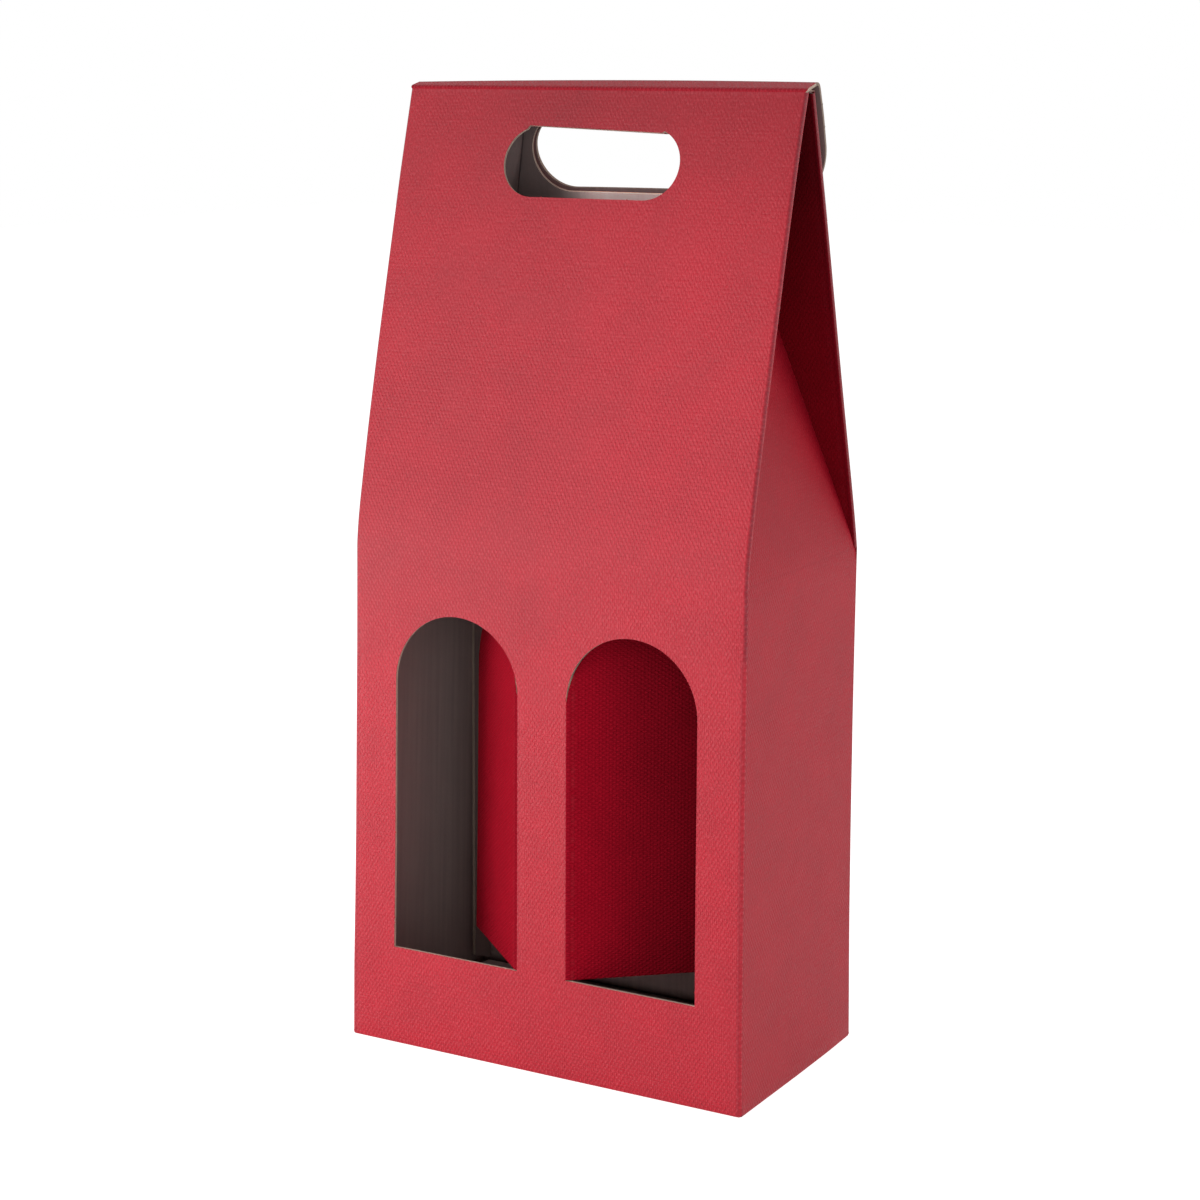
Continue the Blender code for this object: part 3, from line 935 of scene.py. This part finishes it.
def side_board(name, side):
    size = shape()
    half = HALF_DEPTH - (HALF_WIDTH - WING_FOLD)
    lean = size.gusset_lean
    heights = span(size.gusset_start, GUSSET_TIP.z - SHOULDER, GRID)
    front = [(wing_face("front", side, h) + TOUCH, h) for h in heights]
    back = [(wing_face("back", side, h) - TOUCH, h) for h in heights]
    rise = [h / math.cos(lean) for h in heights]
    right = [(y, SHOULDER + r) for (y, h), r in zip(back, rise)]
    left = [(y, SHOULDER + r) for (y, h), r in zip(front, rise)]
    foot = SKIN - size.bottom_soft
    outline = ([(-half, foot), (half, foot), (half, SHOULDER)] + right + left[::-1]
               + [(-half, SHOULDER)])
    if side < 0:
        outline = [(-y, v) for y, v in reversed(outline)]
    soft = size.shoulder_soft
    across = span(-half, half, GRID)
    along = lines(span(foot, SHOULDER + rise[-1], GRID),
                  span(foot, SKIN + size.bottom_soft, CREASE_STEP / 2),
                  span(SHOULDER - soft, SHOULDER + soft, CREASE_STEP))
    board = flat_board("side_board_" + name, outline, [], across, along)
    creases = [(0, way * half, -GRID, SHOULDER, 0.3) for way in (-1, 1)]
    creases.append((1, SHOULDER, -half, half, 0.1))
    top = SHOULDER + rise[-1] - TOUCH

    def ends(u, v):
        if v > top:
            return CUT_EDGE
        return SIDE if v < SHOULDER else LINER

    # Painted shade: the side is darker than printed, the gusset more so, and its liner towards the
    # tip
    def shade(u, v):
        painted_darkening = ramp(v, SHOULDER - 0.02, SHOULDER + 0.02)
        return SIDE_PAINTED_SHADE - (SIDE_PAINTED_SHADE - GUSSET_PAINTED_SHADE) * painted_darkening

    def painted_liner_shading(u, v):
        return GUSSET_LINER_PAINTED_SHADE * ramp(v, SHOULDER + 0.03, SHOULDER + 0.08)

    fold_board(board, side_fold(side), creases, ends, lambda u, v: SIDE, shade, 0.6, painted_liner_shading)
    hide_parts(name + "_wall", "gusset_" + name)
    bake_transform(board)


def wing(gable, name, side):
    """A gable's folded edge and the wing that it runs back to, behind the gable."""
    size = shape()
    lean, gable_length, fold, turn = (
        (FRONT_LEAN, FRONT_LENGTH, front_fold(), 1) if gable == "front"
        else (BACK_LEAN, BACK_LENGTH, back_fold(), -1))
    slope = math.tan(size.gusset_lean)
    inner_face = SIDE_PLANE - SKIN / math.cos(size.gusset_lean)

    def reach(v):
        height = v * math.cos(lean) - WING_MIDDLE * math.sin(lean)
        return WING_START + WING_FOLD - inner_face + height * slope

    foot = ((inner_face - WING_FOLD) / slope + WING_MIDDLE * math.sin(lean)) / math.cos(lean)
    top = gable_length - size.wing_top
    outline = [(CORNER_END, 0), (WING_START, 0), (WING_START, foot), (reach(top), top),
               (CORNER_END, top)]
    outline = [(x, y + SHOULDER) for x, y in outline]
    across = lines(span(CORNER_END, WING_START, ROLL_STEP), span(WING_START, reach(top), GRID))
    if side * turn < 0:
        outline = [(-x, y) for x, y in reversed(outline)]
        across = [-x for x in reversed(across)]
    low, high = SHOULDER, SHOULDER + top
    along = lines(span(low, high, GRID), span(low, low + size.shoulder_zone, GRID / 4))
    board = flat_board(f"wing_board_{gable}_{name}", outline, [], across, along)
    inside = CORNER_END + ROLL * math.pi / 4
    roll_painted_shade = 1.0 if gable == "front" else BACK_EDGE_PAINTED_SHADE

    def ends(u, v):
        if abs(u) < CORNER_END + TOUCH:
            return FACING
        return CUT_EDGE if v > high - TOUCH else LINER

    def shade(u, v):
        """Painted shade, from that of the gable's edge to the wing's, which grows towards the ridge.
        """
        painted_darkening = roll_painted_shade - WING_PAINTED_SHADE + WING_RIDGE_PAINTED_SHADE * ramp(v, SHOULDER + 0.08, high)
        return roll_painted_shade - ramp(np.abs(u), CORNER_END, WING_START) * painted_darkening

    # The wing's liner has painted shade of 0.3
    fold_board(board, fold, [(0, side * turn * WING_START, low, high, 0.3)], ends,
               lambda u, v: SHADED_FACING if abs(u) > inside else FACING, shade, 0.5, 0.3)
    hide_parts(f"wing_{gable}_{name}")
    hinge_name = f"wing_fold_{gable}_{name}"
    axis = Vector(joint(hinge_name)["axis"]).normalized()
    inward = axis.cross(X)
    inward *= 1 if inward.y * turn > 0 else -1
    centre = hinge(hinge_name)
    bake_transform(board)


def skewed(fold):
    """The closing flap hooks on askew: its left end sits closer and a little lower."""
    def moved(u, v, w):
        points = fold(u, v, w)
        size = shape()
        left = ((HALF_WIDTH - points[:, 0]) / (2 * HALF_WIDTH)) ** 2
        share = np.clip((points[:, 1] - RIDGE.y) / STRIP_LENGTH, 0, 1)
        middle = np.maximum(1 - (points[:, 0] / HALF_WIDTH) ** 2, 0)
        points[:, 1] -= size.hook_near * left * share
        points[:, 2] += (size.hook_arch * middle - size.hook_low * left) * share
        return points

    return moved


def ridge_strip():
    size = shape()
    soft = size.ridge_soft
    end = STRIP_LENGTH - size.closing_soft
    across = span(-HALF_WIDTH, HALF_WIDTH, GRID)
    along = lines(span(-soft, soft, CREASE_STEP / 2), span(soft, end, GRID / 4))
    corner = size.strip_corner
    outline = mirrored([(HALF_WIDTH - corner, -soft), (HALF_WIDTH, corner - soft),
                        (HALF_WIDTH, end)])
    board = flat_board("ridge_strip_board", outline, [], across, along)
    crease = Crease(RIDGE, X, FRONT_UP, STRIP_UP, soft)
    creases = [(1, place, -FAR, FAR, 0.3) for place in (0.0, STRIP_LENGTH)]

    def ends(u, v):
        return CUT_EDGE if abs(u) > HALF_WIDTH - corner else FACING

    # The strip's facing is painted in shade
    fold_board(board, skewed(crease.fold), creases, ends, lambda u, v: SIDE, STRIP_PAINTED_SHADE)
    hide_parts("ridge_strip")
    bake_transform(board)


def closing_flap():
    size = shape()
    soft = size.closing_soft
    half = HALF_WIDTH
    corner = size.closing_corner
    straight = size.closing_length - corner
    round_corner = arc((half - corner, straight), corner, 0, math.pi / 2)
    outline = mirrored([(half, -soft)] + round_corner)
    level = CLOSING_HINGE.z - HANDLE_HINGE.z + size.closing_hole_drop
    hole = slot(level / math.sin(size.closing_fall), size.handle_half, size.closing_hole_radius)
    across = span(-half, half, GRID)
    along = lines(span(-soft, soft, CREASE_STEP / 2), span(soft, size.closing_length, GRID / 2))
    board = flat_board("closing_board", outline, [hole], across, along)
    for v in CLOSING_EDGE_TAGS:
        for side in (-1, 1):
            torn_tag(board, side * half, v, side, 0, SMALL_TAG)
    down = Vector((0, math.cos(size.closing_fall), -math.sin(size.closing_fall)))
    crease = Crease(CLOSING_HINGE, X, STRIP_UP, down, soft)
    inward = np.cross(down, X)

    def curled(u, v, w):
        curl = size.closing_curl * ramp(v, straight * 0.5, straight * 1.1)
        return crease.fold(u, v, w) + curl[:, None] * inward

    def ends(u, v):
        return FACING if v < -soft + TOUCH else CUT_EDGE

    # The closing flap is painted in shade, at half its tone
    fold_board(board, skewed(curled), [(1, 0.0, -FAR, FAR, 0.5)], ends, tone=CLOSING_PAINTED_SHADE)
    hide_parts("closing_flap")
    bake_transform(board)


def handle_flap():
    size = shape()
    soft = size.flap_soft
    centre = size.slot_drop - size.slot_fold
    radius = size.slot_radius - size.cut_gap
    half = size.handle_half - size.handle_relief
    at_fold = size.handle_half - size.slot_radius + math.sqrt(size.slot_radius**2 - centre**2)
    right = [(at_fold - size.cut_gap, 0), (half - size.cut_gap, centre / 3)]
    outline = mirrored(right + arc((half - radius, centre), radius, 0, math.pi / 2))
    across = span(-half, half, GRID)
    along = lines(span(0, 2 * soft, CREASE_STEP / 4), span(2 * soft, centre + radius, GRID))
    board = flat_board("handle_flap_board", outline, [], across, along)
    edge = RIDGE - FRONT_UP * size.slot_fold
    back = Vector((0, math.cos(size.handle_rise), math.sin(size.handle_rise)))
    crease = Crease(edge + Z * (SKIN - size.cut_gap / 2), -X, -FRONT_UP, back, soft)

    def tilted(u, v, w):
        points = crease.fold(u, v - soft, w)
        points[:, 2] -= points[:, 0] * size.slot_tilt
        return points

    fold_board(board, tilted, [(1, soft, -FAR, FAR, 0.4)])
    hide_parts("handle_flap")
    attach(board, "handle_flap")


def window_flap(name, side, opened, near, far):
    """A flap pushed in from a window; near and far are its painted shade at its two edges."""
    size = shape()
    soft = size.flap_soft
    half = size.window_width / 2
    radius = half - size.cut_gap
    spring = size.window_spring - size.window_sill
    end = math.acos((size.cut_gap - half) / radius)
    sill = size.cut_gap
    outline = [(0, sill), (half + radius, sill)] + arc((half, spring), radius, 0, end)
    outline[-1] = (0, outline[-1][1])
    outline = [(y * -side, x) for x, y in outline]
    if side < 0:
        outline = outline[::-1]
    heights = [y for y, x in outline]
    across = span(min(heights), max(heights), GRID)
    along = lines(span(0, 2 * soft, CREASE_STEP / 4), span(2 * soft, half + radius, GRID))
    board = flat_board("window_flap_board_" + name, outline, [], across, along)
    for height in WINDOW_FLAP_TAGS:
        torn_tag(board, (height - size.window_sill) * -side, half + radius, 0, 1, SMALL_TAG)
    place = Vector((side * (size.window_post / 2 + soft), FRONT_HINGE.y, size.window_sill))
    inward = Vector((side * math.cos(opened), math.sin(opened), 0))
    crease = Crease(place, -side * Z, side * X, inward, soft)
    fold_board(board, lambda u, v, w: crease.fold(u, v - soft, w), [(1, soft, -FAR, FAR, 0.4)],
               None, lambda u, v: SHADED_FACING,
               lambda u, v: near + (far - near) * ramp(v, 0, half * 1.4), 0.0)
    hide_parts("window_flap_" + name)
    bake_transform(board)


def plain_boards():
    """The glued flap and the side flaps of the bottom keep their CAD shape."""
    # The glue flap's liner is painted in shade, and the bottom's in painted light
    glued = board_of_node("glue flap", -X, Y, Z, 0.75)
    floor = board_of_node("bottom", -Z, X, Y, FLOOR_PAINTED_LIGHT)
    for name, material in (("glue_flap", glued), ("bottom_left", floor), ("bottom_right", floor),
                           ("bottom_tab_left", floor), ("bottom_tab_right", floor)):
        item = frame["nodes"][name]
        item.data.materials.clear()
        item.data.materials.append(material)


# Properties


def length(name, description, default):
    return bpy.props.FloatProperty(name=name, description=description, default=default,
                                   precision=5, subtype="DISTANCE", unit="LENGTH")


def angle(name, description, degrees):
    return bpy.props.FloatProperty(name=name, description=description,
                                   default=math.radians(degrees), subtype="ANGLE", unit="ROTATION")


def number(name, description, default):
    return bpy.props.FloatProperty(name=name, description=description, default=default)


def tint(name, description, default):
    return bpy.props.FloatVectorProperty(name=name, description=description, default=default,
                                         size=3, subtype="COLOR", min=0, max=1)


class CarrierShape(bpy.types.PropertyGroup):
    """Sizes of the cut-outs and creases."""

    window_width: length("Window width", "Width of each bottle window", 0.0585)
    window_sill: length("Window sill", "Height of the windows' lower edge", 0.042)
    window_spring: length("Window spring", "Height where the round heads begin", 0.15645)
    window_post: length("Window post", "Board left between the two windows", 0.0225)
    left_open: angle("Left flap", "How far the left window flap is pushed in", 43)
    right_open: angle("Right flap", "How far the right window flap is pushed in", 41)
    handle_half: length("Slot half length", "Half the length of the hand slot", 0.040)
    slot_radius: length("Slot radius", "Radius of the hand slot's round ends", 0.0145)
    slot_tilt: number("Slot tilt", "Fall of the slot's straight top to the right", 0.036)
    slot_drop: length("Slot drop", "From the ridge to the slot's middle", 0.0305)
    slot_fold: length("Slot fold", "From the ridge to the fold of the handle flap", 0.0168)
    handle_relief: length("Handle relief", "What each end of the handle flap is short", 0.006)
    back_hole_radius: length("Back hole radius", "Radius of the back gable's hole", 0.0162)
    back_hole_drop: length("Back hole drop", "Its middle, below the handle flap", 0.0099)
    closing_hole_radius: length("Closing hole radius", "Radius of the closing flap's hole", 0.0159)
    closing_hole_drop: length("Closing hole drop", "Its middle, below the handle flap", 0.0082)
    closing_length: length("Closing flap", "Length of the closing flap", 0.054)
    closing_corner: length("Closing corner", "Radius of its round corners", 0.0305)
    closing_fall: angle("Closing fall", "How steeply the closing flap hangs", 71.2)
    gusset_lean: angle("Gusset lean", "How far the gussets lean in", 15.5)
    gusset_start: length("Gusset start", "Where the gusset narrows, above the shoulder", 0.0012)
    wing_top: length("Wing top", "What a wing is short at the ridge", 0.0006)
    cut_gap: length("Cut gap", "Clearance of a flap in its window", 0.0003)
    shoulder_soft: length("Shoulder softness", "Half the bend at the shoulder", 0.009)
    shoulder_zone: length("Shoulder zone", "Stretch that bends when the top opens", 0.020)
    bottom_soft: length("Bottom softness", "Half the bend at the floor", 0.0002)
    bottom_step: length("Bottom step", "Step between the long bottom flaps", 0.024)
    bottom_slope: length("Bottom slope", "Width in which they step", 0.020)
    bottom_corner: length("Bottom corner", "Cut corner of the long bottom flaps", 0.008)
    ridge_soft: length("Ridge softness", "Half the bend at the ridge", 0.0010)
    strip_corner: length("Strip corner", "Cut corner of the strip at the ridge", 0.0006)
    closing_soft: length("Closing softness", "Half the bend behind the ridge", 0.0028)
    closing_curl: length("Closing curl", "How far the closing flap curls in", 0.0010)
    hook_near: length("Hook near", "How much closer the closing flap's left end is", 0.003)
    hook_low: length("Hook low", "How much lower its left end is", 0.0012)
    hook_arch: length("Hook arch", "Rise of the strip's middle", 0.0006)
    handle_rise: angle("Handle rise", "How much the handle flap rises backwards", 3.0)
    wing_blend: length("Wing blend", "Stretch of a wing that bends as it unfolds", 0.002)
    back_bow: length("Back bow", "How far the back gable bows out", 0.0010)
    back_bow_start: length("Back bow start", "Length in which that bow rises", 0.010)
    back_belly: length("Back belly", "How much more it bows near the top", 0.0010)
    flap_soft: length("Flap softness", "Half the bend of a pushed-in flap", 0.0007)
    bow: length("Front bow", "How far the front gable bows out", 0.0025)
    bow_start: number("Bow start", "Share of its length in which the bow rises", 0.06)
    bow_left: number("Bow power left", "How late the bow falls off on the left", 2.2)
    bow_right: number("Bow power right", "How late the bow falls off on the right", 6.0)


class CarrierFinish(bpy.types.PropertyGroup):
    """Colours and finish of the board."""

    # The dots' and the valleys' colours differ as painted highlight and painted shade
    facing: tint("Facing", "Colour of the embossed dots outside", (0.57, 0.005, 0.026))
    facing_valley_shade: tint("Facing valley", "Colour between the dots", (0.45, 0.0025, 0.017))
    crease: tint("Crease", "Colour of a scored line", (0.24, 0.002, 0.014))
    rubbed: tint("Rubbed", "Colour of a rubbed fold", (0.62, 0.16, 0.19))
    liner: tint("Liner", "Colour of the paper inside", (0.45, 0.34, 0.325))
    liner_crease: tint("Liner crease", "Colour of a fold in it", (0.12, 0.1, 0.09))
    cut_edge: tint("Cut edge", "Colour of the board where it is cut", (0.95, 0.74, 0.60))
    facing_roughness: number("Facing roughness", "Roughness of the embossed paper", 0.5)
    facing_specular: number("Facing specular", "Specular level of the embossed paper", 0.43)
    # The side and sheltered facings have less sheen than the embossed facing: painted shade
    side_specular: number("Side specular", "Specular level of the sides and the strip", 0.22)
    shaded_facing_roughness: number("Shaded facing roughness", "Roughness of the paper inside", 0.8)
    shaded_facing_specular: number("Shaded facing specular", "Specular level of the paper inside", 0.06)
    # Fluff is partly pale fibres, partly painted sheen
    fluff_and_sheen: number("Fluff", "How much its pale fibres show", 0.5)
    cloud: number("Cloud", "Unevenness of the paper's tone over centimetres", 0.35)
    fibre: number("Fibre", "Unevenness of the paper's tone over fibres", 0.5)
    emboss_depth: length("Emboss depth", "Height of the dots", 0.00025)


class CarrierStudio(bpy.types.PropertyGroup):
    """Camera and light."""

    camera_place: bpy.props.FloatVectorProperty(
        name="Camera place", description="Where the camera stands",
        default=(0.5199, -0.9239, 0.4049), subtype="XYZ", unit="LENGTH", precision=4)
    yaw: angle("Camera yaw", "Turn of the view to the left of straight back", 29.5)
    pitch: angle("Camera pitch", "How far the view looks down", 9.47)
    roll: angle("Camera roll", "Turn of the picture about its middle", 0.26)
    lens: number("Lens", "Focal length in millimetres", 78.75)
    shift: number("Shift", "Upward shift of the picture", -0.08)
    left: number("Left light", "Power of the light by the floor at the left, in watts", 2.3)
    front: number("Front light", "Power of the main light, in watts", 3.6)
    front_right: number("Front right light", "Power of the weak light beside it, in watts", 1.5)
    right: number("Right light", "Power of the light at the right rear, in watts", 3.4)
    sky: number("Sky", "Strength of the light from all around", 0.42)
    glow: number("Floor glow", "What the floor shows the camera besides its light", 0.8)
    pale: tint("Floor", "Colour of the floor", (0.85, 0.85, 0.85))


# Stage


def camera():
    set_up = studio()
    data = bpy.data.cameras.new("camera")
    data.lens = set_up.lens
    data.sensor_width = 36
    data.shift_y = set_up.shift
    made = new_object("camera", data)
    yaw, pitch, roll = set_up.yaw, set_up.pitch, set_up.roll
    ahead = Vector((-math.sin(yaw) * math.cos(pitch), math.cos(yaw) * math.cos(pitch),
                    -math.sin(pitch)))
    right = Vector((math.cos(yaw), math.sin(yaw), 0))
    up = right.cross(ahead)
    turned_right = right * math.cos(roll) + up * math.sin(roll)
    turned_up = up * math.cos(roll) - right * math.sin(roll)
    place = Vector(set_up.camera_place)
    turn = Matrix((turned_right, turned_up, -ahead)).transposed().to_4x4()
    made.matrix_world = Matrix.Translation(place) @ turn
    bpy.context.scene.camera = made


def area_light(name, round_angle, rise, reach, height, width, power):
    """A square light that looks at the middle of the carrier from an angle round it."""
    data = bpy.data.lights.new(name, "AREA")
    data.shape = "SQUARE"
    data.size = width
    data.energy = power
    turn, lift = math.radians(round_angle), math.radians(rise)
    away = Vector((math.sin(turn) * math.cos(lift), -math.cos(turn) * math.cos(lift),
                   math.sin(lift)))
    made = new_object(name, data)
    made.location = Z * height + away * reach
    made.rotation_euler = (-away).to_track_quat("-Z", "Y").to_euler()


def seen_rays(tree):
    """1 for rays from the camera and those that metal or glass send on, 0 for the light itself."""
    path = add(tree, "LightPath").outputs
    mirrored_too = calc(tree, "MAXIMUM", path["Is Camera Ray"], path["Is Glossy Ray"])
    return calc(tree, "MAXIMUM", mirrored_too, path["Is Transmission Ray"])


def stage():
    set_up = studio()
    scene = bpy.context.scene
    scene.view_settings.view_transform = "Standard"
    world = bpy.data.worlds.new("studio")
    world.use_nodes = True
    scene.world = world
    tree = world.node_tree
    background = tree.nodes["Background"].inputs
    feed(tree, background["Strength"],
         calc(tree, "MULTIPLY_ADD", seen_rays(tree), 1 - set_up.sky, set_up.sky))
    feed(tree, background["Color"], WHITE)
    bpy.ops.mesh.primitive_plane_add(size=8, location=(0, 1.5, 0))
    floor = bpy.context.object
    floor.name = "floor"
    material, tree, shader = new_material("pale floor", roughness=1, specular=0)
    feed(tree, shader["Base Color"], (*set_up.pale, 1))
    feed(tree, shader["Emission Color"], WHITE)
    feed(tree, shader["Emission Strength"], times(tree, seen_rays(tree), set_up.glow))
    floor.data.materials.append(material)
    powers = (set_up.left, set_up.front, set_up.front_right, set_up.right)
    for light, power in zip(LIGHTS, powers):
        area_light(*light, power)
    camera()


# Operators


class CARRIER_OT_materials(bpy.types.Operator):
    """Embossed facing, liner and cut edge, and the effects that they share"""

    bl_idname = "carrier.materials"
    bl_label = "Materials"

    def execute(self, context):
        board_materials()
        plain_boards()
        return {"FINISHED"}


class CARRIER_OT_front(bpy.types.Operator):
    """Front wall with its windows, and the front gable above it"""

    bl_idname = "carrier.front"
    bl_label = "Front board"

    def execute(self, context):
        front_board()
        return {"FINISHED"}


class CARRIER_OT_back(bpy.types.Operator):
    """Back wall and back gable"""

    bl_idname = "carrier.back"
    bl_label = "Back board"

    def execute(self, context):
        back_board()
        return {"FINISHED"}


class CARRIER_OT_sides(bpy.types.Operator):
    """Side walls with their gussets, and the wings folded behind the gables"""

    bl_idname = "carrier.sides"
    bl_label = "Sides and wings"

    def execute(self, context):
        for name, side in (("left", -1), ("right", 1)):
            side_board(name, side)
            wing("front", name, side)
            wing("back", name, side)
        return {"FINISHED"}


class CARRIER_OT_ridge(bpy.types.Operator):
    """The strip across the ridge and the flap that hangs down behind it"""

    bl_idname = "carrier.ridge"
    bl_label = "Ridge and closing flap"

    def execute(self, context):
        ridge_strip()
        closing_flap()
        return {"FINISHED"}


class CARRIER_OT_flaps(bpy.types.Operator):
    """The flaps pushed in from the windows and folded back from the hand slot"""

    bl_idname = "carrier.flaps"
    bl_label = "Pushed-in flaps"

    def execute(self, context):
        handle_flap()
        window_flap("left", -1, shape().left_open, *LEFT_FLAP_PAINTED_SHADES)
        window_flap("right", 1, shape().right_open, *RIGHT_FLAP_PAINTED_SHADES)
        return {"FINISHED"}


class CARRIER_OT_stage(bpy.types.Operator):
    """Floor, light and camera"""

    bl_idname = "carrier.stage"
    bl_label = "Stage"

    def execute(self, context):
        stage()
        return {"FINISHED"}


class CARRIER_PT_panel(bpy.types.Panel):
    """The steps that build the carrier, in order"""

    bl_label = "Bottle carrier"
    bl_idname = "CARRIER_PT_panel"
    bl_space_type = "VIEW_3D"
    bl_region_type = "UI"
    bl_category = "Carrier"

    def draw(self, context):
        for step in STEPS:
            self.layout.operator(step.bl_idname)


GROUPS = {"carrier_shape": CarrierShape, "carrier_finish": CarrierFinish,
          "carrier_studio": CarrierStudio}
STEPS = (CARRIER_OT_materials, CARRIER_OT_front, CARRIER_OT_back, CARRIER_OT_sides,
         CARRIER_OT_ridge, CARRIER_OT_flaps, CARRIER_OT_stage)


def register():
    for item in (*GROUPS.values(), *STEPS, CARRIER_PT_panel):
        bpy.utils.register_class(item)
    for name, group in GROUPS.items():
        setattr(bpy.types.Scene, name, bpy.props.PointerProperty(type=group))


def unregister():
    for name in GROUPS:
        delattr(bpy.types.Scene, name)
    for item in (CARRIER_PT_panel, *reversed(STEPS), *reversed(GROUPS.values())):
        bpy.utils.unregister_class(item)


def main():
    register()
    for step in STEPS:
        family, name = step.bl_idname.split(".")
        getattr(getattr(bpy.ops, family), name)()


if __name__ == "__main__":
    main()
